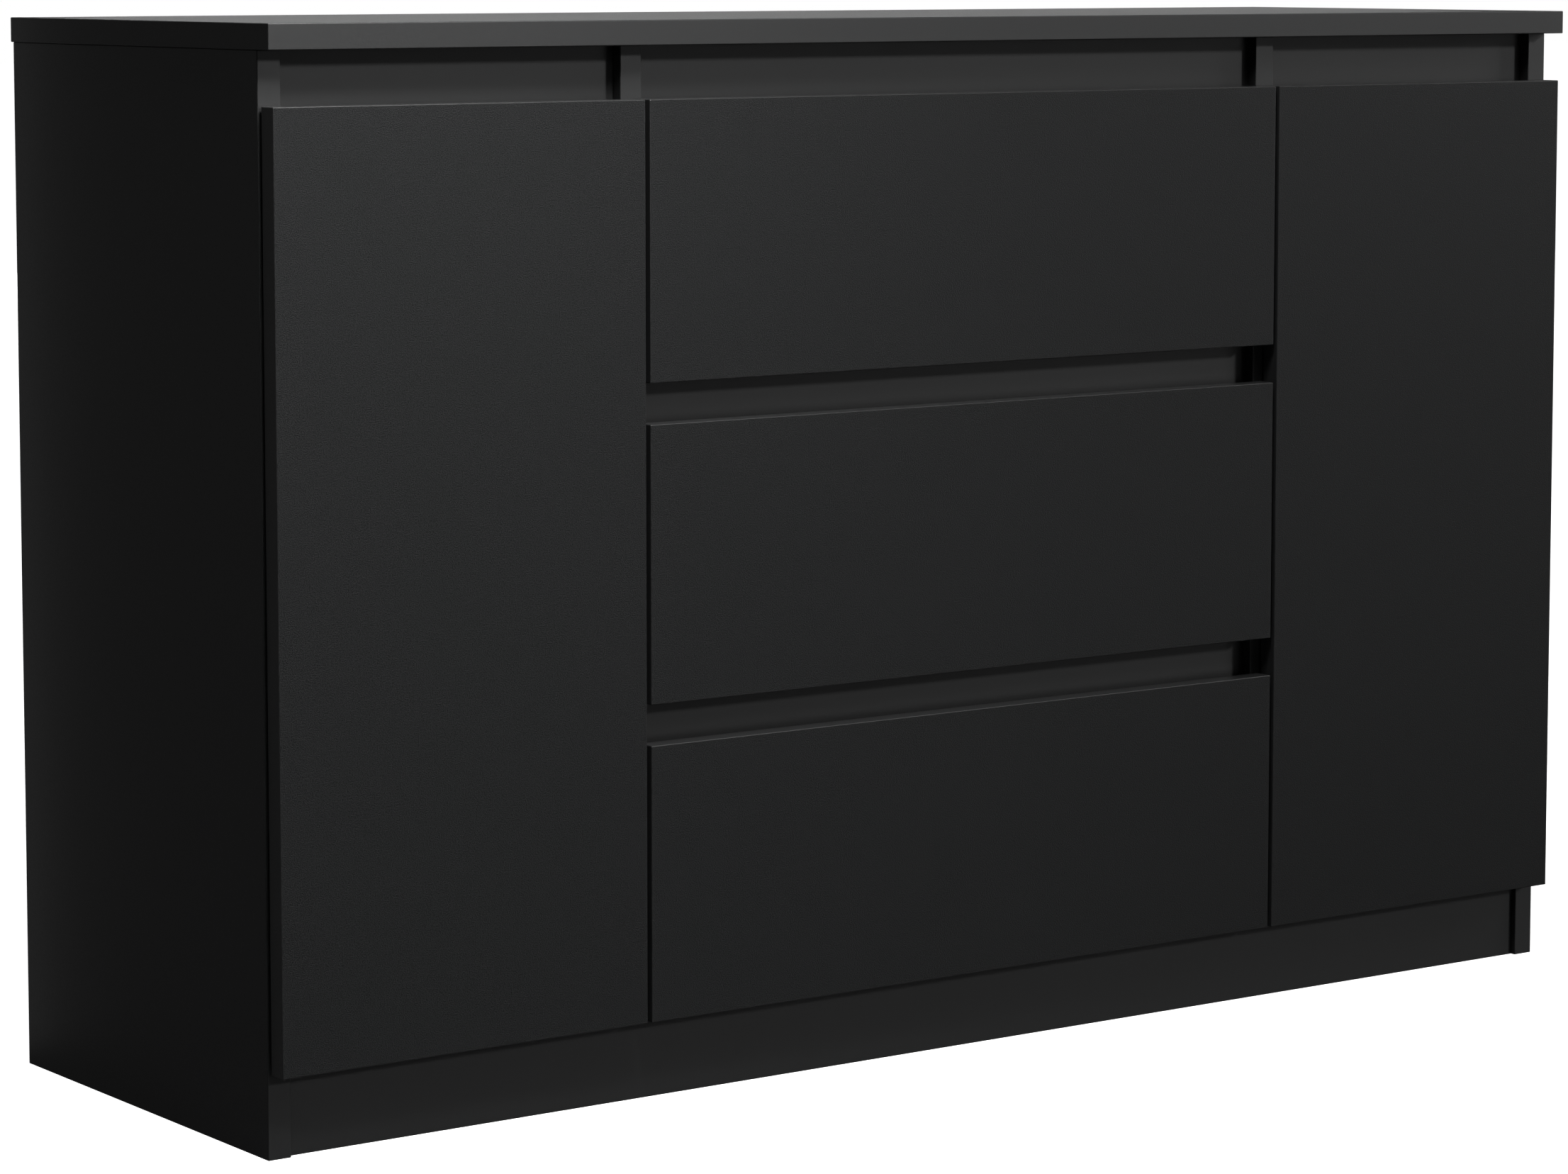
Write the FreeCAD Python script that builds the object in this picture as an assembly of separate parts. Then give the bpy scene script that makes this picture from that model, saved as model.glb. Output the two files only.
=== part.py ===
import FreeCAD, Part
import math
import os

# Low dresser: a board carcass on the floor, a door at each end and three drawers between them.
# Millimetres. X runs across the width, -Y is the front and Z is up. The origin is on the floor,
# under the middle of the object's box.

# Overall sizes and boards
WIDTH = 1200.0                  # across the top panel
HEIGHT = 778.0
TOP_DEPTH = 380.0
BOARD = 18.0                    # carcass boards
FRONT_BOARD = 16.0              # doors, drawer fronts and shelves
DRAWER_BOARD = 12.0
HARDBOARD = 3.0                 # back panels and drawer bottoms
EDGE = 0.7                      # rounding along a laminated board's edges
TOP_END_OVERHANG = 2.0          # the top past the side panels
TOP_FRONT_OVERHANG = 19.0       # the top past the carcass front

# Fronts: handleless, with finger gaps above the doors and drawer fronts
FRONT_SETBACK = 0.8             # the fronts' faces behind the top's front edge
FRONT_BOTTOM = 60.0
FRONT_TOP = 722.0
FINGER_GAP = 29.5               # between drawer fronts
DOOR_WIDTH = 300.0
DOOR_REVEAL = 1.6               # the door's outer edge inside the side panel's outer face
FRONT_JOINT = 3.7               # upright joint between a door and the drawer fronts
DRAWERS = ("lower", "middle", "upper")

# Carcass inside the fronts
PARTITION_INNER = 287.5         # from the middle to a partition's drawer side
BOTTOM_PANEL_TOP = 80.0
PLINTH_SETBACK = 4.4
RAIL_SETBACK = 9.3
RAIL_HEIGHT = 60.0
BACK_PANEL_MARGIN = 5.0
BACK_PANEL_GAP = 1.0            # between two back panels
BUMPER_RADIUS = 4.0
BUMPER_THICKNESS = 1.8
BUMPER_INSET = 20.0             # from a front's edge to a bumper's middle

# Shelves
SHELF_GAP = 0.5
SHELF_FRONT = 34.0              # behind the carcass front
SHELF_BACK_GAP = 4.0
SHELF_PIN_RADIUS = 2.5
SHELF_PIN_DEPTH = 9.0
SHELF_PIN_REACH = 7.0
SHELF_PIN_INSET = 35.0          # from the shelf's front and back edges
HOLE_PITCH = 32.0
SHELF_PIN_HOLE = {"lower": 7, "upper": 14}  # pitches above the bottom panel

# Drawer boxes and their ball-bearing slides
SLIDE_THICKNESS = 12.7
SLIDE_LENGTH = 300.0
SLIDE_TRAVEL = 300.0
SLIDE_FRONT = 3.0               # behind the carcass front
SLIDE_ABOVE_BOX_BOTTOM = 45.0
SHEET = 1.2                     # pressed steel in the slides and hinges
OUTER_HEIGHT = 45.0
MIDDLE_HEIGHT = 36.0
INNER_HEIGHT = 27.0
BOX_ABOVE_FRONT_BOTTOM = 24.0
BOX_HEIGHT = 150.0
BOX_LENGTH = 322.0
GROOVE_ABOVE_BOX_BOTTOM = 12.0
GROOVE_DEPTH = 5.0
GROOVE_PLAY = 0.2

OUTER_REACH = 8.4               # depths of the channels, from the partition
MIDDLE_WEB = 3.4
MIDDLE_REACH = 10.4
INNER_REACH = 6.4
CAGE_LENGTH = 120.0
CAGE_END = 8.0
CAGE_PLAY = 0.3
SLIDE_SCREWS = (35.0, 147.0, 259.0)
EURO_SCREW_LENGTH = 12.0
SIDE_SCREW_LENGTH = 9.0
BACK_SCREW_LENGTH = 35.0
DRAWER_FITTING_HEIGHTS = (30.0, 120.0)

# Cup hinges. U runs from the side panel's inner face into the compartment, V from the carcass
# front to the back. The link turns on pin A, which is held by the arm, and on pin B in the cup.
HINGE_END = 100.0               # from the door's ends to the hinges' middles
CUP_RADIUS = 17.5
CUP_DEPTH = 12.0
CUP_EDGE = 5.0                  # from the door's outer edge to the cup
CUP_FLANGE = 0.8
CUP_FLANGE_WIDTH = 2.0
CUP_EAR_RADIUS = 6.0
CUP_EAR_OFFSET = 9.5            # of the ears from the cup's middle, along U
CUP_EAR_SPREAD = 24.0           # and along Z
PIN_A = (25.7, 2.0)
PIN_B = (-0.7, -3.5)
HINGE_PIN_RADIUS = 1.25
LINK_RADIUS = 2.3
LINK_HALF = 5.0                 # half of the link's width, along Z
LINK_CHEEK = 1.4
LINK_WEB_INSET = 4.5            # from the pins to the ends of the link's web
ARM_HALF = 6.5
ARM_OUTLINE = ((23.1, 0.6), (24.4, -0.6), (27.0, -0.6), (28.3, 0.6), (28.3, 10.0),
               (21.0, 34.0), (21.0, 62.0), (7.0, 62.0), (7.0, 34.0))
ARM_CHANNEL = ((0.0, 9.0), (27.1, 9.0), (27.1, 10.0), (19.8, 34.0), (19.8, 63.0), (0.0, 63.0))
ARM_MOUTH = 12.0                # the arm has no web in front of this V
PLATE_BODY_V = (26.0, 62.0)
PLATE_HEIGHT = 7.0
PLATE_TONGUE_V = (40.0, 58.0)
PLATE_TONGUE_TOP = 15.0
PLATE_WING = (2.0, 6.0, 22.0)   # half sizes of the wing along V and Z, after its thickness
PLATE_SCREW_V = 37.0
PLATE_SCREW_SPREAD = 16.0

# Cam fittings, dowels, screws and nails
CAM_RADIUS = 7.5
CAM_DEPTH = 12.5
CAM_SETBACK = 24.0              # from the board's end to the cam's middle
SMALL_CAM_RADIUS = 6.0
SMALL_CAM_DEPTH = 9.0
BOLT_RADIUS = 3.0
THREAD_RADIUS = 2.5
THREAD_LENGTH = 10.0
DOWEL_RADIUS = 4.0
DOWEL_IN_END = 18.0
DOWEL_IN_FACE = 11.0
FIT = 0.05                      # play of a fastener in its hole
HOLE_SPARE = 1.0                # a blind hole past the end of its fastener
FITTING_INSET = 60.0            # from a board's front and back edges to its cam fittings
DOWEL_STEP = 32.0               # from a cam fitting to the dowel beside it
CAM_LIFT = 18.0                 # cam and dowel above the middle of a rail's end
DOWEL_LIFT = -6.0
SCREW_RADIUS = 2.0
SCREW_HEAD_RADIUS = 4.0
SCREW_HEAD = 1.2
NAIL_RADIUS = 0.9
NAIL_HEAD_RADIUS = 2.6
NAIL_HEAD = 0.6
NAIL_LENGTH = 20.0
NAIL_PITCH = 110.0
NAIL_OFF_SEAM = 4.5             # beside the seam between two back panels

# Derived places
DEPTH = TOP_DEPTH + HARDBOARD
TOP_FRONT = -DEPTH / 2
CARCASS_FRONT = TOP_FRONT + TOP_FRONT_OVERHANG
CARCASS_BACK = TOP_FRONT + TOP_DEPTH
CARCASS_TOP = HEIGHT - BOARD
SIDE_OUTER = WIDTH / 2 - TOP_END_OVERHANG
SIDE_INNER = SIDE_OUTER - BOARD
PARTITION_OUTER = PARTITION_INNER + BOARD
FRONT_FACE = TOP_FRONT + FRONT_SETBACK
FRONT_BACK = FRONT_FACE + FRONT_BOARD
DOOR_OUTER = SIDE_OUTER - DOOR_REVEAL
DOOR_INNER = DOOR_OUTER - DOOR_WIDTH
DRAWER_FRONT_HALF = DOOR_INNER - FRONT_JOINT
DRAWER_FRONT_HEIGHT = (FRONT_TOP - FRONT_BOTTOM - 2 * FINGER_GAP) / 3
BOX_HALF = PARTITION_INNER - SLIDE_THICKNESS

SIDES = {"left": -1, "right": 1}

nodes = {}                      # node name -> its solids
cuts = {}                       # node name -> the holes, pockets and grooves to cut in its solid


def box(x, y, z):
    """A box between two values on each axis."""
    corner = FreeCAD.Vector(min(x), min(y), min(z))
    return Part.makeBox(abs(x[1] - x[0]), abs(y[1] - y[0]), abs(z[1] - z[0]), corner)


def board(x, y, z, edge=EDGE):
    """A laminated board: a box with softened edges."""
    shape = box(x, y, z)
    return shape.makeFillet(edge, shape.Edges)


def rod(point, direction, radius, start, end):
    """A round bar along `direction`, between two distances from `point`."""
    return Part.makeCylinder(radius, end - start, point + direction * start, direction)


def add(name, *solids):
    """Put solids into a node."""
    nodes.setdefault(name, []).extend(solids)


def cut(name, *tools):
    """Note holes, pockets or grooves to be cut out of a node that is one solid."""
    cuts.setdefault(name, []).extend(tools)


X = FreeCAD.Vector(1, 0, 0)
Y = FreeCAD.Vector(0, 1, 0)
Z = FreeCAD.Vector(0, 0, 1)


# ---- carcass boards ----

def carcass_boards():
    """The top, sides, partitions, bottom, plinth and rails."""
    depth = (CARCASS_FRONT, CARCASS_BACK)
    add("top_panel", board((-WIDTH / 2, WIDTH / 2), (TOP_FRONT, CARCASS_BACK), (CARCASS_TOP, HEIGHT)))
    bottom_z = (BOTTOM_PANEL_TOP - BOARD, BOTTOM_PANEL_TOP)
    add("bottom_panel", board((-SIDE_INNER, SIDE_INNER), depth, bottom_z))
    plinth_front = CARCASS_FRONT + PLINTH_SETBACK
    plinth_y = (plinth_front, plinth_front + BOARD)
    add("plinth_board", board((-SIDE_INNER, SIDE_INNER), plinth_y, (0, BOTTOM_PANEL_TOP - BOARD)))
    for name, side in SIDES.items():
        side_x = (side * SIDE_INNER, side * SIDE_OUTER)
        partition_x = (side * PARTITION_INNER, side * PARTITION_OUTER)
        add(name + "_side_panel", board(side_x, depth, (0, CARCASS_TOP)))
        add(name + "_partition", board(partition_x, depth, (BOTTOM_PANEL_TOP, CARCASS_TOP)))
    rail_front = CARCASS_FRONT + RAIL_SETBACK
    rail_y = (rail_front, rail_front + BOARD)
    centre_x = (-PARTITION_INNER, PARTITION_INNER)
    top_rail_z = (CARCASS_TOP - RAIL_HEIGHT, CARCASS_TOP)
    add("left_top_rail", board((-SIDE_INNER, -PARTITION_OUTER), rail_y, top_rail_z))
    add("center_top_rail", board(centre_x, rail_y, top_rail_z))
    add("right_top_rail", board((PARTITION_OUTER, SIDE_INNER), rail_y, top_rail_z))
    for name, index in (("lower_drawer_rail", 1), ("upper_drawer_rail", 2)):
        middle = drawer_front_bottom(index) - FINGER_GAP / 2
        rail_z = (middle - RAIL_HEIGHT / 2, middle + RAIL_HEIGHT / 2)
        add(name, board(centre_x, rail_y, rail_z))


def drawer_front_bottom(index):
    """Height of the underside of a drawer front, counted from the lowest."""
    return FRONT_BOTTOM + index * (DRAWER_FRONT_HEIGHT + FINGER_GAP)


# ---- cam fittings and dowels ----

def cam_fitting(holder, receiver, point, direction, face, cams="cam_locks", bolts="cam_bolts",
                thickness=BOARD, radius=CAM_RADIUS, depth=CAM_DEPTH):
    """Join the end of board `holder` to the face of board `receiver`.

    `point` is on the joint, in the middle of the holder's thickness, `direction` points into the
    receiver and `face` points out of the holder's face that the cam is set into.
    """
    middle = point - direction * CAM_SETBACK
    surface = thickness / 2
    pocket = rod(middle, face, radius, surface - depth, surface)
    cam = rod(middle, face, radius - FIT, surface - depth + FIT, surface - FIT)
    bolt = rod(point, direction, BOLT_RADIUS, BOLT_RADIUS - CAM_SETBACK, 0)
    bolt = bolt.fuse(rod(point, direction, THREAD_RADIUS, 0, THREAD_LENGTH)).removeSplitter()
    bolt_hole = rod(point, direction, BOLT_RADIUS + FIT, -CAM_SETBACK, 0)
    thread_hole = rod(point, direction, THREAD_RADIUS + FIT, 0, THREAD_LENGTH + HOLE_SPARE)
    add(cams, cam.cut(bolt_hole))
    add(bolts, bolt)
    cut(holder, pocket, bolt_hole)
    cut(receiver, thread_hole)


def dowel(holder, receiver, point, direction):
    """A wooden dowel across a joint, half in the holder's end and half in the receiver's face."""
    peg = rod(point, direction, DOWEL_RADIUS, -DOWEL_IN_END, DOWEL_IN_FACE)
    hole_start, hole_end = -DOWEL_IN_END - HOLE_SPARE, DOWEL_IN_FACE + HOLE_SPARE
    hole = rod(point, direction, DOWEL_RADIUS + FIT, hole_start, hole_end)
    add("dowels", peg)
    cut(holder, hole)
    cut(receiver, hole)


def carcass_joints():
    """Cam fittings and dowels at every joint of the carcass."""
    near = CARCASS_FRONT + FITTING_INSET
    far = CARCASS_BACK - FITTING_INSET
    for name, side in SIDES.items():
        side_panel = name + "_side_panel"
        partition = name + "_partition"
        side_middle = side * (SIDE_INNER + SIDE_OUTER) / 2
        partition_middle = side * (PARTITION_INNER + PARTITION_OUTER) / 2
        for y, step in ((near, DOWEL_STEP), (far, -DOWEL_STEP)):
            uprights = ((side_panel, side_middle, -side), (partition, partition_middle, side))
            for holder, x, face in uprights:
                point = FreeCAD.Vector(x, y, CARCASS_TOP)
                cam_fitting(holder, "top_panel", point, Z, X * face)
                dowel(holder, "top_panel", point + Y * step, Z)
            foot = FreeCAD.Vector(partition_middle, y, BOTTOM_PANEL_TOP)
            cam_fitting(partition, "bottom_panel", foot, -Z, X * side)
            dowel(partition, "bottom_panel", foot + Y * step, -Z)
            end = FreeCAD.Vector(side * SIDE_INNER, y, BOTTOM_PANEL_TOP - BOARD / 2)
            cam_fitting("bottom_panel", side_panel, end, X * side, -Z)
            dowel("bottom_panel", side_panel, end + Y * step, X * side)
        plinth_end = rail_point(side * SIDE_INNER, PLINTH_SETBACK, (BOTTOM_PANEL_TOP - BOARD) / 2)
        rail_joint("plinth_board", side_panel, plinth_end, side)
        top_rail = name + "_top_rail"
        height = CARCASS_TOP - RAIL_HEIGHT / 2
        rail_joint(top_rail, side_panel, rail_point(side * SIDE_INNER, RAIL_SETBACK, height), side)
        rail_joint(top_rail, partition, rail_point(side * PARTITION_OUTER, RAIL_SETBACK, height), -side)
        # the centre rail's fasteners enter the partition from its other face, between those
        inner = rail_point(side * PARTITION_INNER, RAIL_SETBACK, height)
        rail_joint("center_top_rail", partition, inner, side, flipped=True)
        for index, rail in ((1, "lower_drawer_rail"), (2, "upper_drawer_rail")):
            middle = drawer_front_bottom(index) - FINGER_GAP / 2
            rail_joint(rail, partition, rail_point(side * PARTITION_INNER, RAIL_SETBACK, middle), side)


def rail_point(x, setback, z):
    """A point in the middle of the thickness of a rail or the plinth."""
    return FreeCAD.Vector(x, CARCASS_FRONT + setback + BOARD / 2, z)


def rail_joint(holder, receiver, point, direction, flipped=False):
    """One cam fitting and one dowel at the end of a rail, at different heights."""
    cam_lift, dowel_lift = (-DOWEL_LIFT, -CAM_LIFT) if flipped else (CAM_LIFT, DOWEL_LIFT)
    cam_fitting(holder, receiver, point + Z * cam_lift, X * direction, Y)
    dowel(holder, receiver, point + Z * dowel_lift, X * direction)


# ---- back panels, shelves and bumpers ----

def back_panel(name, low_x, high_x, nail_columns):
    """A hardboard panel nailed to the backs of the boards around it."""
    low_z = BACK_PANEL_MARGIN
    high_z = HEIGHT - BACK_PANEL_MARGIN
    add(name, box((low_x, high_x), (CARCASS_BACK, CARCASS_BACK + HARDBOARD), (low_z, high_z)))
    rows = (("bottom_panel", BOTTOM_PANEL_TOP - BOARD / 2), ("top_panel", HEIGHT - BOARD / 2))
    heights = evenly(rows[0][1] + NAIL_PITCH / 2, rows[1][1] - NAIL_PITCH / 2)
    for receiver, x in nail_columns:
        for z in heights:
            nail(name, receiver, x, z)
    inner_low = nail_columns[0][1] + NAIL_PITCH / 2
    inner_high = nail_columns[1][1] - NAIL_PITCH / 2
    for receiver, z in rows:
        for x in evenly(inner_low, inner_high):
            nail(name, receiver, x, z)


def evenly(low, high):
    """Evenly spaced values from low to high, about one nail pitch apart."""
    steps = max(1, round((high - low) / NAIL_PITCH))
    return [low + (high - low) * step / steps for step in range(steps + 1)]


def nail(panel, receiver, x, z):
    """A flat-headed nail, flush with the back panel."""
    point = FreeCAD.Vector(x, CARCASS_BACK + HARDBOARD, z)
    shank = rod(point, -Y, NAIL_RADIUS, NAIL_HEAD, NAIL_LENGTH)
    head = rod(point, -Y, NAIL_HEAD_RADIUS, 0, NAIL_HEAD)
    add("back_panel_nails", head.fuse(shank).removeSplitter())
    hole = rod(point, -Y, NAIL_RADIUS + FIT, 0, NAIL_LENGTH + HOLE_SPARE)
    cut(panel, rod(point, -Y, NAIL_HEAD_RADIUS + FIT, 0, NAIL_HEAD), hole)
    cut(receiver, hole)


def back_panels():
    """Three panels that meet behind the middles of the partitions."""
    edge = SIDE_OUTER - BACK_PANEL_MARGIN
    seam = (PARTITION_INNER + PARTITION_OUTER) / 2
    half_gap = BACK_PANEL_GAP / 2
    side_nails = SIDE_OUTER - BOARD / 2
    for name, side in SIDES.items():
        outer_column = (name + "_side_panel", side * side_nails)
        inner_column = (name + "_partition", side * (seam + NAIL_OFF_SEAM))
        columns = sorted((outer_column, inner_column), key=lambda column: column[1])
        low_x, high_x = sorted((side * edge, side * (seam + half_gap)))
        back_panel(name + "_back_panel", low_x, high_x, columns)
    nails_x = seam - NAIL_OFF_SEAM
    columns = (("left_partition", -nails_x), ("right_partition", nails_x))
    back_panel("center_back_panel", half_gap - seam, seam - half_gap, columns)


def shelves():
    """Two loose shelves behind each door, each on four pins, with spare holes above and below."""
    front = CARCASS_FRONT + SHELF_FRONT
    back = CARCASS_BACK - SHELF_BACK_GAP
    for name, side in SIDES.items():
        walls = ((name + "_side_panel", side * SIDE_INNER, side),
                 (name + "_partition", side * PARTITION_OUTER, -side))
        shelf_x = (side * (PARTITION_OUTER + SHELF_GAP), side * (SIDE_INNER - SHELF_GAP))
        for level, pitches in SHELF_PIN_HOLE.items():
            pin_z = BOTTOM_PANEL_TOP + pitches * HOLE_PITCH
            underside = pin_z + SHELF_PIN_RADIUS - FIT
            shelf_z = (underside, underside + FRONT_BOARD)
            add(name + "_" + level + "_shelf", board(shelf_x, (front, back), shelf_z))
            for wall, wall_x, into in walls:
                for y in (front + SHELF_PIN_INSET, back - SHELF_PIN_INSET):
                    point = FreeCAD.Vector(wall_x, y, pin_z)
                    pin_end = SHELF_PIN_DEPTH - HOLE_SPARE
                    pin = rod(point, X * into, SHELF_PIN_RADIUS - FIT, -SHELF_PIN_REACH, pin_end)
                    add("shelf_pins", pin)
                    for step in (-1, 0, 1):
                        hole = point + Z * (step * HOLE_PITCH)
                        cut(wall, rod(hole, X * into, SHELF_PIN_RADIUS, 0, SHELF_PIN_DEPTH))


def door_bumpers():
    """Soft pads on the partitions' front edges, where the doors close on them."""
    for side in SIDES.values():
        x = side * (PARTITION_OUTER - BUMPER_RADIUS - EDGE)
        for z in (FRONT_BOTTOM + BUMPER_INSET + BOARD, FRONT_TOP - BUMPER_INSET):
            point = FreeCAD.Vector(x, CARCASS_FRONT, z)
            add("door_bumpers", rod(point, -Y, BUMPER_RADIUS, 0, BUMPER_THICKNESS))


# ---- drawers ----

def drawer(index, name):
    """A drawer box with its front, its fittings and its pair of slides."""
    prefix = name + "_drawer_"
    fittings = prefix + "fittings"
    front_bottom = drawer_front_bottom(index)
    low = front_bottom + BOX_ABOVE_FRONT_BOTTOM
    box_z = (low, low + BOX_HEIGHT)
    end = FRONT_BACK + BOX_LENGTH
    inner = BOX_HALF - DRAWER_BOARD
    front_z = (front_bottom, front_bottom + DRAWER_FRONT_HEIGHT)
    front_x = (-DRAWER_FRONT_HALF, DRAWER_FRONT_HALF)
    add(prefix + "front", board(front_x, (FRONT_FACE, FRONT_BACK), front_z))
    add(prefix + "back", board((-inner, inner), (end - DRAWER_BOARD, end), box_z))
    floor_z = low + GROOVE_ABOVE_BOX_BOTTOM
    reach = GROOVE_DEPTH - GROOVE_PLAY
    floor_y = (FRONT_BACK - reach, end - DRAWER_BOARD + reach)
    add(prefix + "bottom", box((-inner - reach, inner + reach), floor_y, (floor_z, floor_z + HARDBOARD)))
    groove_y = (FRONT_BACK - GROOVE_DEPTH, end - DRAWER_BOARD + GROOVE_DEPTH)
    groove_z = (floor_z - GROOVE_PLAY, floor_z + HARDBOARD + GROOVE_PLAY)
    groove = box((-inner - GROOVE_DEPTH, inner + GROOVE_DEPTH), groove_y, groove_z)
    for part in ("front", "back", "left_side", "right_side"):
        cut(prefix + part, groove)
    for side_name, side in SIDES.items():
        part = prefix + side_name + "_side"
        add(part, board((side * inner, side * BOX_HALF), (FRONT_BACK, end), box_z))
        for height in DRAWER_FITTING_HEIGHTS:
            front_joint = FreeCAD.Vector(side * (inner + DRAWER_BOARD / 2), FRONT_BACK, low + height)
            cam_fitting(part, prefix + "front", front_joint, -Y, X * -side, fittings, fittings,
                        DRAWER_BOARD, SMALL_CAM_RADIUS, SMALL_CAM_DEPTH)
            back_screw = FreeCAD.Vector(side * BOX_HALF, end - DRAWER_BOARD / 2, low + height)
            screw(fittings, back_screw, X * -side, BACK_SCREW_LENGTH, (part, prefix + "back"), sunk=True)
        slide(prefix, side, low + SLIDE_ABOVE_BOX_BOTTOM, part)


def screw(node, point, direction, length, receivers, sunk=False):
    """A screw whose head sits on, or is sunk flush with, the surface at `point`."""
    head_start, head_end = (0, SCREW_HEAD) if sunk else (-SCREW_HEAD, 0)
    head = rod(point, direction, SCREW_HEAD_RADIUS, head_start, head_end)
    add(node, head.fuse(rod(point, direction, SCREW_RADIUS, head_end, length)).removeSplitter())
    for receiver in receivers:
        cut(receiver, rod(point, direction, SCREW_RADIUS + FIT, 0, length + HOLE_SPARE))
        if sunk:
            cut(receiver, rod(point, direction, SCREW_HEAD_RADIUS + FIT, 0, SCREW_HEAD))


def channel(side, web, opening, height, z):
    """A pressed channel along Y. `web` and `opening` are distances from the partition."""
    start = CARCASS_FRONT + SLIDE_FRONT
    y = (start, start + SLIDE_LENGTH)
    wall = SHEET if opening > web else -SHEET
    outside = box((place(side, web), place(side, opening)), y, (z - height / 2, z + height / 2))
    inside_z = (z - height / 2 + SHEET, z + height / 2 - SHEET)
    return outside.cut(box((place(side, web + wall), place(side, opening + wall)), y, inside_z))


def place(side, distance):
    """X of a point at a distance from the partition's drawer face."""
    return side * (PARTITION_INNER - distance)


def slide(prefix, side, z, drawer_side):
    """Three nested channels with ball cages between them, and their screws."""
    outer = channel(side, 0, OUTER_REACH, OUTER_HEIGHT, z)
    middle = channel(side, MIDDLE_WEB, MIDDLE_REACH, MIDDLE_HEIGHT, z)
    inner = channel(side, SLIDE_THICKNESS, INNER_REACH, INNER_HEIGHT, z)
    start = CARCASS_FRONT + SLIDE_FRONT
    for offset in SLIDE_SCREWS:
        head = FreeCAD.Vector(place(side, SHEET), start + offset, z)
        partition = ("left" if side < 0 else "right") + "_partition"
        screw("euro_screws", head, X * side, EURO_SCREW_LENGTH, (partition,))
        outer = outer.cut(rod(head, X * side, SCREW_RADIUS + FIT, -SHEET, SHEET))
        head = FreeCAD.Vector(place(side, SLIDE_THICKNESS - SHEET), start + offset, z)
        screw(prefix + "fittings", head, X * -side, SIDE_SCREW_LENGTH, (drawer_side,))
        inner = inner.cut(rod(head, X * -side, SCREW_RADIUS + FIT, -SHEET, SHEET))
    add("slide_outer_members", outer)
    add(prefix + "slide_inner", inner)
    add(prefix + "slide_middle", middle, *ball_cages(side, z))


def ball_cages(side, z):
    """The four ball cages of one slide: two run in the outer channel and two in the middle one."""
    start = CARCASS_FRONT + SLIDE_FRONT
    rear = (start + SLIDE_LENGTH - CAGE_LENGTH - CAGE_END, start + SLIDE_LENGTH - CAGE_END)
    front = (start + CAGE_END, start + CAGE_END + CAGE_LENGTH)
    races = ((rear, MIDDLE_HEIGHT, OUTER_HEIGHT, MIDDLE_WEB + SHEET, OUTER_REACH),
             (front, INNER_HEIGHT, MIDDLE_HEIGHT, INNER_REACH, MIDDLE_REACH))
    cages = []
    for y, within, around, near, far in races:
        low = within / 2 + CAGE_PLAY
        high = around / 2 - SHEET - CAGE_PLAY
        for sign in (-1, 1):
            x = (place(side, near + CAGE_PLAY), place(side, far - CAGE_PLAY))
            cages.append(box(x, y, (z + sign * low, z + sign * high)))
    return cages


# ---- doors and cup hinges ----

def hinge_point(side, point, z):
    """A point given as (U, V) beside a side panel, at height z."""
    u, v = point
    return FreeCAD.Vector(side * (SIDE_INNER - u), CARCASS_FRONT + v, z)


def hinge_box(side, u, v, z):
    """A box between two values of U, V and Z."""
    return box([side * (SIDE_INNER - value) for value in u], [CARCASS_FRONT + value for value in v], z)


def hinge_slab(side, outline, z):
    """A slab with a straight-edged outline in U and V, between two heights."""
    points = [hinge_point(side, point, z[0]) for point in outline]
    return Part.Face(Part.makePolygon(points + points[:1])).extrude(Z * (z[1] - z[0]))


def both_cheeks(z, outer, thickness):
    """The two height ranges of a pair of cheeks about z."""
    return ((z - outer, z - outer + thickness), (z + outer - thickness, z + outer))


def link(side, z):
    """The pressed link between pins A and B: two cheeks and the web that joins them."""
    a = FreeCAD.Vector(*PIN_A, 0)
    b = FreeCAD.Vector(*PIN_B, 0)
    along = (b - a).normalize()
    across = Z.cross(along)

    def strip(start, end, low, high, heights):
        """A slab beside the line from A to B: `low` and `high` are distances across it."""
        corners = (start + across * low, end + across * low, end + across * high, start + across * high)
        return hinge_slab(side, [(corner.x, corner.y) for corner in corners], heights)

    web_start = a + along * LINK_WEB_INSET
    web_end = b - along * LINK_WEB_INSET
    web_z = (z - LINK_HALF, z + LINK_HALF)
    shape = strip(web_start, web_end, -LINK_RADIUS, -LINK_RADIUS + SHEET, web_z)
    for heights in both_cheeks(z, LINK_HALF, LINK_CHEEK):
        shape = shape.fuse(strip(a, b, -LINK_RADIUS, LINK_RADIUS, heights))
        for pin in (PIN_A, PIN_B):
            end = hinge_point(side, pin, heights[0])
            shape = shape.fuse(Part.makeCylinder(LINK_RADIUS, LINK_CHEEK, end, Z))
    for pin in (PIN_A, PIN_B):
        shape = shape.cut(rod(hinge_point(side, pin, z), Z, HINGE_PIN_RADIUS + FIT, -LINK_HALF, LINK_HALF))
    return shape.removeSplitter()


def hinge_arm(side, z):
    """The channel-shaped arm, with pin A riveted across its front end."""
    arm = hinge_slab(side, ARM_OUTLINE, (z - ARM_HALF, z + ARM_HALF))
    channel_z = (z - ARM_HALF + SHEET, z + ARM_HALF - SHEET)
    arm = arm.cut(hinge_slab(side, ARM_CHANNEL, channel_z))
    arm = arm.cut(hinge_box(side, (0, SIDE_INNER / 2), (-ARM_MOUTH, ARM_MOUTH), channel_z))
    pin = rod(hinge_point(side, PIN_A, z), Z, HINGE_PIN_RADIUS, -ARM_HALF, ARM_HALF)
    return arm.fuse(pin).removeSplitter()


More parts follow.
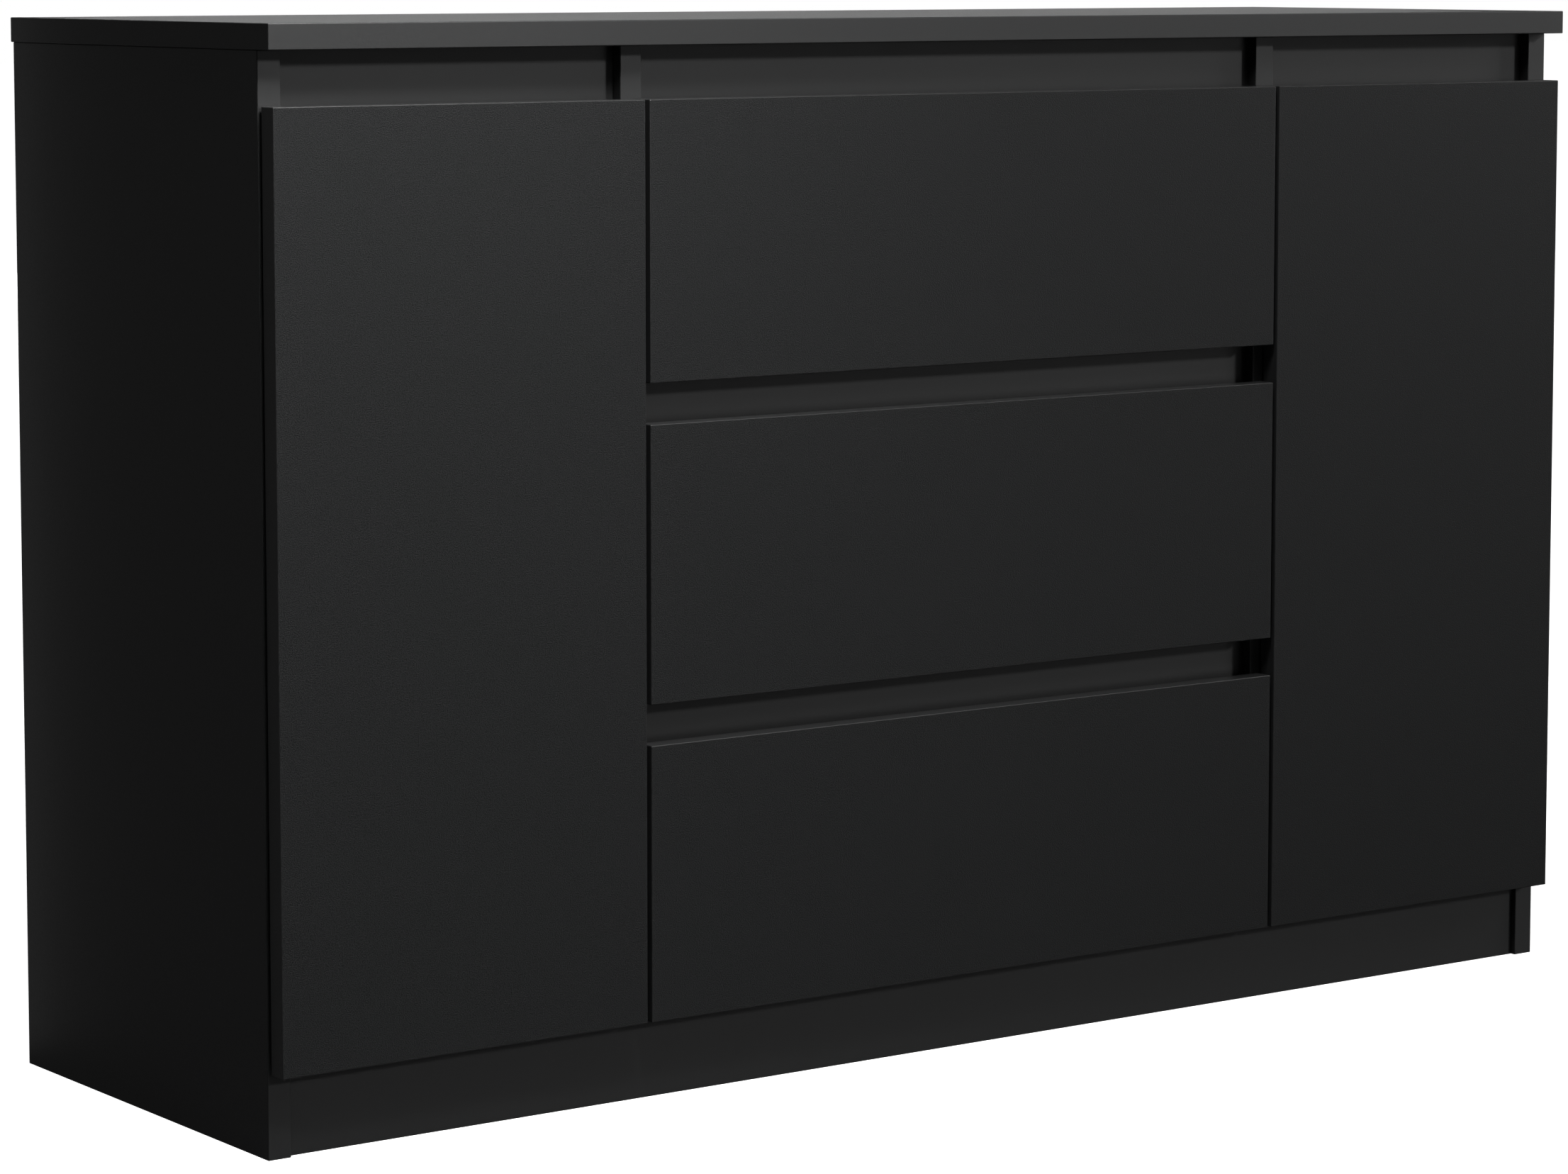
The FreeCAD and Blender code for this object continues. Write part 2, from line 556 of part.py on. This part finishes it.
def mounting_plate(side, z):
    """The cross-shaped plate that carries the arm, with its two screws."""
    thickness, half_v, half_z = PLATE_WING
    body = hinge_box(side, (0, PLATE_HEIGHT), PLATE_BODY_V, (z - ARM_HALF, z + ARM_HALF))
    tongue_half = ARM_HALF - SHEET - FIT
    tongue_z = (z - tongue_half, z + tongue_half)
    tongue = hinge_box(side, (PLATE_HEIGHT, PLATE_TONGUE_TOP), PLATE_TONGUE_V, tongue_z)
    wing_v = (PLATE_SCREW_V - half_v, PLATE_SCREW_V + half_v)
    wing = hinge_box(side, (0, thickness), wing_v, (z - half_z, z + half_z))
    plate = body.fuse([tongue, wing])
    side_panel = ("left" if side < 0 else "right") + "_side_panel"
    for spread in (-PLATE_SCREW_SPREAD, PLATE_SCREW_SPREAD):
        head = hinge_point(side, (thickness, PLATE_SCREW_V), z + spread)
        screw("euro_screws", head, X * side, EURO_SCREW_LENGTH, (side_panel,))
        plate = plate.cut(rod(head, X * side, SCREW_RADIUS + FIT, 0, thickness))
    return plate.removeSplitter()


def hinge_cup(side, z):
    """The pressed cup and its flange, with pin B riveted across it."""
    middle_u = CUP_EDGE + CUP_RADIUS - (DOOR_OUTER - SIDE_INNER)
    v_back = FRONT_BACK - CARCASS_FRONT
    middle = hinge_point(side, (middle_u, v_back), z)
    shell = rod(middle, -Y, CUP_RADIUS - FIT, 0, CUP_DEPTH - SHEET)
    flange = rod(middle, Y, CUP_RADIUS + CUP_FLANGE_WIDTH, 0, CUP_FLANGE)
    clear_u = (middle_u - 2 * CUP_RADIUS, middle_u)
    v_flange = (v_back, v_back + CUP_FLANGE)
    flange = flange.cut(hinge_box(side, clear_u, v_flange, (z - 2 * CUP_RADIUS, z + 2 * CUP_RADIUS)))
    ears = []
    for spread in (-CUP_EAR_SPREAD, CUP_EAR_SPREAD):
        ear = hinge_point(side, (middle_u + CUP_EAR_OFFSET, v_back), z + spread)
        ears.append(rod(ear, Y, CUP_EAR_RADIUS, 0, CUP_FLANGE))
    ear_u = (middle_u + CUP_EAR_OFFSET - CUP_EAR_RADIUS, middle_u + CUP_EAR_OFFSET + CUP_EAR_RADIUS)
    bar = hinge_box(side, ear_u, v_flange, (z - CUP_EAR_SPREAD, z + CUP_EAR_SPREAD))
    inside_radius = CUP_RADIUS - SHEET
    inside = rod(middle, -Y, inside_radius, -CUP_FLANGE, CUP_DEPTH - 2 * SHEET)
    cup = shell.fuse([flange, bar] + ears).cut(inside)
    pin_half = math.sqrt(inside_radius ** 2 - (middle_u - PIN_B[0]) ** 2) + SHEET / 2
    pin = rod(hinge_point(side, PIN_B, z), Z, HINGE_PIN_RADIUS, -pin_half, pin_half)
    pocket = rod(middle, -Y, CUP_RADIUS, 0, CUP_DEPTH)
    return cup.fuse(pin).removeSplitter(), pocket


def doors():
    """Each door with its two hinges."""
    for name, side in SIDES.items():
        panel = name + "_door_panel"
        door_x = (side * DOOR_INNER, side * DOOR_OUTER)
        add(panel, board(door_x, (FRONT_FACE, FRONT_BACK), (FRONT_BOTTOM, FRONT_TOP)))
        for z in (FRONT_BOTTOM + HINGE_END, FRONT_TOP - HINGE_END):
            cup, pocket = hinge_cup(side, z)
            add(name + "_hinge_cups", cup)
            cut(panel, pocket)
            add(name + "_hinge_links", link(side, z))
            add("hinge_arms", hinge_arm(side, z))
            add("hinge_plates", mounting_plate(side, z))


# ---- the whole object ----

carcass_boards()
carcass_joints()
back_panels()
shelves()
door_bumpers()
doors()
for index, name in enumerate(DRAWERS):
    drawer(index, name)
for name, tools in cuts.items():
    nodes[name][0] = nodes[name][0].cut(tools)

os.makedirs("parts", exist_ok=True)
for name, solids in nodes.items():
    pieces = [solid for shape in solids for solid in shape.Solids]
    shape = pieces[0] if len(pieces) == 1 else Part.makeCompound(pieces)
    shape.exportStep("parts/" + name + ".step")
    print(name, len(pieces), "solids", round(shape.Volume), "mm3", shape.isValid())
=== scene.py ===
import math
import bmesh
import bpy
from mathutils import Matrix, Vector


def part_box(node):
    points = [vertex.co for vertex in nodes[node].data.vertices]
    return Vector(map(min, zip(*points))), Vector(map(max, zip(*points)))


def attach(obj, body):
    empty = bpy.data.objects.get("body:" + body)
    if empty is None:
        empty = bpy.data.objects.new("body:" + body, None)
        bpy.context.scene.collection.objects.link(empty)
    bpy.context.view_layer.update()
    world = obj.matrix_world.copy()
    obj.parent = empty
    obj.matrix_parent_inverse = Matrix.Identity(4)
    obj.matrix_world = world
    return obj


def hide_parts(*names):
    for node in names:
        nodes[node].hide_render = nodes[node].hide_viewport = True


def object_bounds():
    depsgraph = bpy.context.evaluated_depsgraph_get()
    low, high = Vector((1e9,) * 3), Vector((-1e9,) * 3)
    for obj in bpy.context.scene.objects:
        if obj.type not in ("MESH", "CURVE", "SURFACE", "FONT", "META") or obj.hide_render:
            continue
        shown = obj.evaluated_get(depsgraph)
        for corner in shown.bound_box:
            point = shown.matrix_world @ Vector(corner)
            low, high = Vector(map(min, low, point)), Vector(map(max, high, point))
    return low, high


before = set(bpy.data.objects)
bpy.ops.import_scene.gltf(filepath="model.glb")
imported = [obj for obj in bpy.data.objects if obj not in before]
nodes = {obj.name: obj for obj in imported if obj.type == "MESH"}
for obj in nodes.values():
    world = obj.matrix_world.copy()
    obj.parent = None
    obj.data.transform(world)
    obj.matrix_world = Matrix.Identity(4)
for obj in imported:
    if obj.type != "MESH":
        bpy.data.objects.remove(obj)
cad_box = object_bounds()

DRAWERS = ("lower", "middle", "upper")
SIDES = {"left": -1, "right": 1}
X = Vector((1.0, 0.0, 0.0))
Y = Vector((0.0, 1.0, 0.0))
SMOOTH_ANGLE = math.radians(35.0)


# ---- materials ----

class Shader:
    """A material with a Principled shader, and short ways to add nodes to it."""

    def __init__(self, name):
        self.material = bpy.data.materials.new(name)
        self.material.use_nodes = True
        self.nodes = self.material.node_tree.nodes
        self.links = self.material.node_tree.links
        self.surface = self.nodes["Principled BSDF"]
        self.coordinates = self.node("ShaderNodeTexCoord")
        self.place = self.coordinates.outputs["Object"]

    def node(self, kind, **settings):
        made = self.nodes.new(kind)
        for key, value in settings.items():
            setattr(made, key, value)
        return made

    def feed(self, name, output):
        """Link an output to one of the Principled shader's inputs."""
        self.links.new(output, self.surface.inputs[name])

    def set(self, **values):
        """Values of the Principled shader's own sockets, with _ for a space in their names."""
        for key, value in values.items():
            self.surface.inputs[key.replace("_", " ")].default_value = value

    def noise(self, scale, detail=2.0, roughness=0.5, stretch=None):
        """A noise pattern; a large stretch along an axis makes it short along that axis."""
        made = self.node("ShaderNodeTexNoise")
        made.inputs["Scale"].default_value = scale
        made.inputs["Detail"].default_value = detail
        made.inputs["Roughness"].default_value = roughness
        place = self.place
        if stretch:
            mapping = self.node("ShaderNodeMapping")
            mapping.inputs["Scale"].default_value = stretch
            self.links.new(place, mapping.inputs["Vector"])
            place = mapping.outputs["Vector"]
        self.links.new(place, made.inputs["Vector"])
        return made.outputs["Fac"]

    def ramp(self, factor, low, high, start=0.3, end=0.7):
        """Colours or grey values between two stops."""
        made = self.node("ShaderNodeValToRGB")
        stops = zip(made.color_ramp.elements, (start, end), (low, high))
        for element, position, value in stops:
            element.position = position
            colour = value if isinstance(value, tuple) else (value, value, value)
            element.color = (*colour, 1.0)
        self.links.new(factor, made.inputs["Fac"])
        return made.outputs["Color"]

    def mix(self, factor, first, second, blend="MIX"):
        """Two colours mixed by a factor, which is an output or a number."""
        made = self.node("ShaderNodeMix", data_type="RGBA", blend_type=blend)
        if isinstance(factor, float):
            made.inputs["Factor"].default_value = factor
        else:
            self.links.new(factor, made.inputs["Factor"])
        self.links.new(first, made.inputs["A"])
        self.links.new(second, made.inputs["B"])
        return made.outputs["Result"]

    def bump(self, height, distance):
        """A bump of a real depth in metres."""
        made = self.node("ShaderNodeBump")
        made.inputs["Distance"].default_value = distance
        self.links.new(height, made.inputs["Height"])
        return made.outputs["Normal"]

    def facing(self, axis, sign):
        """1 where the surface faces along one axis of the object, 0 elsewhere."""
        split = self.node("ShaderNodeSeparateXYZ")
        self.links.new(self.coordinates.outputs["Normal"], split.inputs["Vector"])
        test = self.node("ShaderNodeMath", operation="MULTIPLY")
        self.links.new(split.outputs[axis], test.inputs[0])
        test.inputs[1].default_value = sign
        over = self.node("ShaderNodeMath", operation="GREATER_THAN")
        self.links.new(test.outputs["Value"], over.inputs[0])
        over.inputs[1].default_value = 0.5
        return over.outputs["Value"]


def laminate(name, dark, light, roughness, gloss, grain_size, grain_depth):
    """Black melamine with an embossed pearl grain, duller in its pits; its colour follows the grain's
    height, with painted shade in the pits and painted glints on the tops.
    """
    shader = Shader(name)
    grain = shader.noise(1.0 / grain_size, detail=0.0)
    # painted shade and painted glints: the colour is darker in the grain's pits and lighter on its
    # raised tops
    shader.feed("Base Color", shader.ramp(grain, dark, light))
    shader.feed("Roughness", shader.ramp(grain, *roughness))
    shader.set(Specular_IOR_Level=gloss)
    shader.feed("Normal", shader.bump(grain, grain_depth))
    return shader.material


def hardboard(name, printed_axis, printed_sign):
    """Hardboard: brown pressed fibres, with one face printed black."""
    shader = Shader(name)
    fibres = shader.noise(420.0, detail=6.0, roughness=0.75)
    clouds = shader.noise(14.0, detail=3.0)
    brown = shader.ramp(fibres, (0.115, 0.062, 0.030), (0.235, 0.140, 0.075))
    tint = shader.ramp(clouds, (0.82, 0.80, 0.78), (1.0, 1.0, 1.0))
    brown = shader.mix(1.0, brown, tint, blend="MULTIPLY")
    grain = shader.noise(900.0)
    black = shader.ramp(grain, (0.010, 0.0102, 0.0104), (0.016, 0.0162, 0.0164))
    shader.feed("Base Color", shader.mix(shader.facing(printed_axis, printed_sign), brown, black))
    shader.feed("Roughness", shader.ramp(fibres, 0.55, 0.72))
    shader.set(Specular_IOR_Level=0.3)
    shader.feed("Normal", shader.bump(fibres, 0.00006))
    return shader.material


def steel(name, dark, light, roughness, spangle):
    """Plated steel: drawn lines along Y, and a patchy sheen."""
    shader = Shader(name)
    drawn = shader.noise(900.0, detail=3.0, stretch=(1.0, 0.03, 1.0))
    patches = shader.noise(spangle, detail=3.0, roughness=0.6)
    shader.feed("Base Color", shader.ramp(patches, dark, light))
    shader.feed("Roughness", shader.ramp(patches, roughness - 0.06, roughness + 0.06))
    shader.set(Metallic=0.75)
    shader.feed("Normal", shader.bump(drawn, 0.00001))
    return shader.material


def beech(name):
    """Turned beech: grain along X with short dark flecks."""
    shader = Shader(name)
    grain = shader.noise(240.0, detail=4.0, stretch=(0.15, 1.0, 1.0))
    flecks = shader.noise(1300.0, detail=1.0, stretch=(0.25, 1.0, 1.0))
    wood = shader.ramp(grain, (0.42, 0.25, 0.13), (0.58, 0.38, 0.22))
    marks = shader.ramp(flecks, (0.70, 0.62, 0.55), (1.0, 1.0, 1.0), 0.30, 0.42)
    shader.feed("Base Color", shader.mix(1.0, wood, marks, blend="MULTIPLY"))
    shader.set(Roughness=0.6, Specular_IOR_Level=0.3)
    shader.feed("Normal", shader.bump(grain, 0.00005))
    return shader.material


def rubber(name):
    """Soft moulded pads with a dull, slightly dusty surface."""
    shader = Shader(name)
    dust = shader.noise(700.0, detail=3.0)
    shader.feed("Base Color", shader.ramp(dust, (0.018, 0.018, 0.018), (0.030, 0.030, 0.030)))
    shader.feed("Roughness", shader.ramp(dust, 0.5, 0.7))
    shader.feed("Normal", shader.bump(dust, 0.00003))
    return shader.material


# Each laminate's two colours are painted shade in the grain's pits and painted glints on its tops; the
# front's wide span paints its speckle.
MATERIALS = {
    "front_laminate": laminate("front_laminate", (0.0004, 0.0006, 0.0007), (0.0098, 0.0102, 0.0103),
                               (0.37, 0.67), 0.18, 0.00066, 0.00017),
    "black_laminate": laminate("black_laminate", (0.0028, 0.0030, 0.0031), (0.0041, 0.0043, 0.0044),
                               (0.45, 0.51), 0.5, 0.0009, 0.00001),
    "edge_band": laminate("edge_band", (0.0038, 0.0040, 0.0041), (0.0052, 0.0054, 0.0055),
                          (0.40, 0.46), 0.6, 0.0009, 0.00001),
    "inner_laminate": laminate("inner_laminate", (0.010, 0.0102, 0.0104), (0.016, 0.0163, 0.0165),
                               (0.46, 0.54), 0.2, 0.0011, 0.00004),
    "raw_hardboard": hardboard("raw_hardboard", "Y", -1.0),
    "drawer_hardboard": hardboard("drawer_hardboard", "Z", 1.0),
    "beech": beech("beech"),
    "zinc_steel": steel("zinc_steel", (0.46, 0.47, 0.48), (0.64, 0.65, 0.66), 0.38, 160.0),
    "nickel_steel": steel("nickel_steel", (0.62, 0.61, 0.59), (0.76, 0.75, 0.73), 0.28, 60.0),
    "bumper_rubber": rubber("bumper_rubber"),
}

FLAT_ENOUGH = 0.95              # faces of a front that look less along Y than this are its edge band

for node in nodes.values():
    for slot in node.material_slots:
        slot.material = MATERIALS[slot.material.name.split(".")[0]]
    if MATERIALS["front_laminate"] in node.data.materials.values():
        node.data.materials.append(MATERIALS["edge_band"])
        for face in node.data.polygons:
            if abs(face.normal.y) < FLAT_ENOUGH:
                face.material_index = 1


# ---- fasteners with recessed heads, which the CAD leaves plain ----

HEAD_RADIUS = 0.0031            # a screw's head is wider than this, a bolt's collar is not
CROSS_REACH = 0.62              # of a cross recess, as a share of its head's radius
CROSS_WIDTH = 0.2
CROSS_DEPTH = 0.3
CROSS_TAPER = 0.7
TOUCH = 1e-5                    # points this near to a plane are on it
partition_x = [corner[0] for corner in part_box("right_partition")]


def welded(mesh):
    """A node's mesh as a bmesh whose faces share their points."""
    shape = bmesh.new()
    shape.from_mesh(mesh)
    bmesh.ops.remove_doubles(shape, verts=shape.verts, dist=TOUCH / 10)
    return shape


def islands(shape):
    """The lowest corner, highest corner and points of each separate solid."""
    found = []
    waiting = set(shape.verts)
    while waiting:
        group = [waiting.pop()]
        for vertex in group:
            for edge in vertex.link_edges:
                other = edge.other_vert(vertex)
                if other in waiting:
                    waiting.remove(other)
                    group.append(other)
        points = [vertex.co.copy() for vertex in group]
        low = Vector([min(point[axis] for point in points) for axis in range(3)])
        high = Vector([max(point[axis] for point in points) for axis in range(3)])
        found.append((low, high, points))
    return sorted(found, key=lambda island: tuple(island[0]))


def along(axis, sign):
    """A unit vector along one axis."""
    return Vector([sign if index == axis else 0.0 for index in range(3)])


def head_of(island):
    """The middle of a fastener's head, the way that it faces and its radius, or None."""
    low, high, points = island
    size = high - low
    middle = (low + high) / 2
    short, mean, long = sorted(range(3), key=lambda axis: size[axis])
    if size[long] - size[mean] < TOUCH:             # a cam is wider than it is long
        sign = 1.0
        if short == 0:
            in_partition = partition_x[0] < abs(middle.x) < partition_x[1]
            sign = math.copysign(1.0, middle.x) * (1.0 if in_partition else -1.0)
        elif short == 2:
            sign = -1.0
        direction = along(short, sign)
        return middle + direction * size[short] / 2, direction, size[long] / 2
    for sign, end in ((-1.0, low[long]), (1.0, high[long])):
        ring = [point - middle for point in points if abs(point[long] - end) < TOUCH]
        radius = max(point[mean] for point in ring)
        if radius > HEAD_RADIUS:
            direction = along(long, sign)
            return middle + direction * size[long] / 2, direction, radius
    return None


def seat(place, direction):
    """The matrix that takes the origin to a place and Z to a direction."""
    return Matrix.Translation(place) @ direction.to_track_quat("Z", "Y").to_matrix().to_4x4()


def add_cross(shape, place, direction, radius):
    """A tapered plus-shaped prism that starts above a head and goes down into it."""
    reach = radius * CROSS_REACH
    half = radius * CROSS_WIDTH / 2
    depth = radius * CROSS_DEPTH
    corner = ((half, half), (half, reach), (-half, reach))
    outline = [(x, y) for x, y in corner]
    for turn in range(3):
        corner = tuple((-y, x) for x, y in corner)
        outline += corner
    top = [shape.verts.new((x, y, depth)) for x, y in outline]
    bottom = [shape.verts.new((x * CROSS_TAPER, y * CROSS_TAPER, -depth)) for x, y in outline]
    shape.faces.new(top)
    shape.faces.new(bottom[::-1])
    for index in range(len(outline)):
        shape.faces.new((top[index - 1], bottom[index - 1], bottom[index], top[index]))
    bmesh.ops.transform(shape, matrix=seat(place, direction), verts=top + bottom)


def link_object(name, shape):
    """A new object from a bmesh."""
    mesh = bpy.data.meshes.new(name)
    shape.to_mesh(mesh)
    shape.free()
    made = bpy.data.objects.new(name, mesh)
    bpy.context.scene.collection.objects.link(made)
    return made


def fit_out(piece, body, slot):
    """Put a piece on a body and give it the material of a slot."""
    piece.data.materials.clear()
    piece.data.materials.append(MATERIALS[slot])
    piece.data.set_sharp_from_angle(angle=SMOOTH_ANGLE)
    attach(piece, body)
    return piece


def crossed(name, shape, body, slot):
    """A piece from a bmesh of fasteners, with a cross recess cut into each head."""
    cutters = bmesh.new()
    for island in islands(shape):
        head = head_of(island)
        if head:
            add_cross(cutters, *head)
    bmesh.ops.recalc_face_normals(cutters, faces=cutters.faces)
    cutter = link_object("cutter", cutters)
    piece = link_object(name, shape)
    recess = piece.modifiers.new("recesses", "BOOLEAN")
    recess.object = cutter
    recess.operation = "DIFFERENCE"
    recess.solver = "EXACT"
    graph = bpy.context.evaluated_depsgraph_get()
    mesh = bpy.data.meshes.new_from_object(piece.evaluated_get(graph))
    piece.modifiers.clear()
    piece.data = mesh
    bpy.data.objects.remove(cutter)
    return fit_out(piece, body, slot)


def recessed(node, body):
    """Show a node of plain-headed fasteners with recesses in their heads."""
    piece = crossed(node + "_recessed", welded(nodes[node].data), body, "zinc_steel")
    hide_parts(node)


recessed("cam_locks", "carcass")
recessed("euro_screws", "carcass")
for name in DRAWERS:
    recessed(name + "_drawer_fittings", name + "_drawer")


def button(shape, place, direction, radius, height):
    """A screw head: a disc with a tapered rim, standing on a surface."""
    middle = place + direction * height / 2
    bmesh.ops.create_cone(shape, cap_ends=True, segments=40, radius1=radius, radius2=radius * 0.86,
                          depth=height, matrix=seat(middle, direction))


# Screws of the hinges: two that set each arm, and two that hold each cup to the door
ARM_SCREWS = (0.0405, 0.0545)       # behind the carcass front
ARM_SCREW = (0.0032, 0.0011)        # radius and height of a head
CUP_SCREW = (0.0034, 0.0009)
EAR_RADIUS = 0.006

carcass_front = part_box("left_side_panel")[0].y
arm_screws = bmesh.new()
for low, high, points in islands(welded(nodes["hinge_arms"].data)):
    side = math.copysign(1.0, low.x)
    rear_x = min(abs(point.x) for point in points if point.y > high.y - TOUCH)
    for behind in ARM_SCREWS:
        place = Vector((side * rear_x, carcass_front + behind, (low.z + high.z) / 2))
        button(arm_screws, place, X * -side, *ARM_SCREW)
crossed("hinge_arm_screws", arm_screws, "carcass", "nickel_steel")

for name, side in SIDES.items():
    cup_screws = bmesh.new()
    for low, high, points in islands(welded(nodes[name + "_hinge_cups"].data)):
        ear_x = side * (min(abs(low.x), abs(high.x)) + EAR_RADIUS)
        for ear_z in (low.z + EAR_RADIUS, high.z - EAR_RADIUS):
            button(cup_screws, Vector((ear_x, high.y, ear_z)), Y, *CUP_SCREW)
    crossed(name + "_hinge_cup_screws", cup_screws, name + "_door", "nickel_steel")


# ---- balls in the slides' cages ----

BALL_RADIUS = 0.0012
BALL_STANDS_OUT = 0.00035
BALL_PITCH = 0.0085
CAGE_LENGTH_LIMIT = 0.2             # a cage is shorter than this, a channel is longer

for name in DRAWERS:
    balls = bmesh.new()
    for low, high, points in islands(welded(nodes[name + "_drawer_slide_middle"].data)):
        length = high.y - low.y
        if length > CAGE_LENGTH_LIMIT:
            continue
        face_x = min((low.x, high.x), key=abs)
        side = math.copysign(1.0, face_x)
        count = int(length / BALL_PITCH)
        for index in range(count):
            y = low.y + length * (index + 0.5) / count
            middle = Matrix.Translation((face_x, y, (low.z + high.z) / 2))
            flat = Matrix.Diagonal((BALL_STANDS_OUT / BALL_RADIUS, 1.0, 1.0, 1.0))
            bmesh.ops.create_icosphere(balls, subdivisions=2, radius=BALL_RADIUS, matrix=middle @ flat)
    fit_out(link_object(name + "_slide_balls", balls), name + "_slide_middles", "nickel_steel")


# ---- floor and world ----

FLOOR_SIZE = 60.0
FLOOR_GLOW = 0.95
FILL = 0.056                        # of the world on the object; the camera sees the world white


def floor_material():
    """Pale seamless paper that glows to the camera only, so that shadows on it stay faint."""
    shader = Shader("floor_pale")
    paper = shader.noise(3.0)
    shader.feed("Base Color", shader.ramp(paper, 0.78, 0.82))
    shader.feed("Emission Color", shader.ramp(paper, 0.99, 1.0))
    glow = shader.node("ShaderNodeMath", operation="MULTIPLY")
    glow.inputs[1].default_value = FLOOR_GLOW
    shader.links.new(shader.node("ShaderNodeLightPath").outputs["Is Camera Ray"], glow.inputs[0])
    shader.feed("Emission Strength", glow.outputs["Value"])
    shader.set(Roughness=0.8, Specular_IOR_Level=0.1)
    return shader.material


bpy.ops.mesh.primitive_plane_add(size=FLOOR_SIZE, location=(0.0, 0.0, cad_box[0][2]))
floor = bpy.context.object
floor.name = "floor"
floor.data.materials.append(floor_material())
floor.visible_glossy = False

world = bpy.data.worlds.new("studio")
bpy.context.scene.world = world
world.use_nodes = True
tree = world.node_tree
seen = tree.nodes.new("ShaderNodeLightPath")
mix = tree.nodes.new("ShaderNodeMix")
mix.inputs["A"].default_value = FILL
mix.inputs["B"].default_value = 1.0
tree.links.new(seen.outputs["Is Camera Ray"], mix.inputs["Factor"])
tree.links.new(mix.outputs["Result"], tree.nodes["Background"].inputs["Strength"])
tree.nodes["Background"].inputs["Color"].default_value = (1.0, 1.0, 1.0, 1.0)


# ---- lamps: a far key at the right, soft light round it, and a glow on the upper left corner ----

KEY_FROM = Vector((0.72, -1.0, 0.41))
OBJECT_MIDDLE = Vector((0.0, -0.1, 0.4))
TOP_CORNER = Vector((-0.6, -0.19, 0.69))
BACK_EDGE = Vector((-0.6, 0.19, 0.42))


def hang(lamp, place, target):
    """Put a lamp at a place, out of the camera's sight, so that it shines at a target."""
    made = bpy.data.objects.new(lamp.name, lamp)
    bpy.context.scene.collection.objects.link(made)
    made.location = place
    made.rotation_euler = (target - place).to_track_quat("-Z", "Y").to_euler()
    made.visible_camera = False


def around(target, azimuth, elevation, distance):
    """A place at angles from the front, in degrees, and a distance from a target."""
    turn, lift = math.radians(azimuth), math.radians(elevation)
    level = math.cos(lift)
    away = Vector((math.sin(turn) * level, -math.cos(turn) * level, math.sin(lift)))
    return target + away * distance


def softbox(name, azimuth, elevation, distance, size, power, target=OBJECT_MIDDLE):
    """A rectangular lamp. Angles are in degrees, sizes in metres and the power in watts."""
    lamp = bpy.data.lights.new(name, "AREA")
    lamp.shape = "RECTANGLE"
    lamp.size, lamp.size_y = size
    lamp.energy = power
    hang(lamp, around(target, azimuth, elevation, distance), target)


def spotlight(name, azimuth, elevation, distance, cone, power, target):
    """A soft-edged spot, with its cone in degrees."""
    lamp = bpy.data.lights.new(name, "SPOT")
    lamp.spot_size = math.radians(cone)
    lamp.spot_blend = 1.0
    lamp.shadow_soft_size = 0.1
    lamp.energy = power
    hang(lamp, around(target, azimuth, elevation, distance), target)


sun = bpy.data.lights.new("key", "SUN")
sun.energy = 0.77
sun.angle = math.radians(5.0)
hang(sun, KEY_FROM, Vector())
softbox("right", 80.0, 20.0, 3.2, (1.2, 1.2), 29.0)
softbox("glow", 10.0, 60.0, 1.2, (0.4, 0.4), 35.0, TOP_CORNER)
softbox("back", 158.0, 5.0, 9.0, (8.0, 2.5), 180.0)
softbox("front", 36.0, 1.0, 4.0, (2.0, 1.2), 6.0)
softbox("above", 10.0, 52.0, 3.0, (2.4, 0.8), 20.0)
softbox("left", -120.0, 5.0, 3.0, (1.5, 1.5), 0.65)
softbox("rim", -150.0, 0.0, 0.05, (0.03, 0.84), 0.012, BACK_EDGE)
spotlight("corner_high", 10.0, 50.0, 1.2, 70.0, 78.0, TOP_CORNER)
spotlight("corner_front", 0.0, 25.0, 1.3, 60.0, 6.7, TOP_CORNER)


# ---- camera ----

lens = bpy.data.cameras.new("camera")
camera = bpy.data.objects.new("camera", lens)
bpy.context.scene.collection.objects.link(camera)
bpy.context.scene.camera = camera
camera.location = (-2.193, -3.0095, 0.824)
azimuth, pitch = math.radians(35.58), math.radians(5.65)
camera.rotation_euler = (math.pi / 2 - pitch, 0.0, -azimuth)
lens.sensor_width = 36.0
lens.lens = 110.5
lens.shift_y = -0.10
bpy.context.scene.view_settings.view_transform = "Standard"
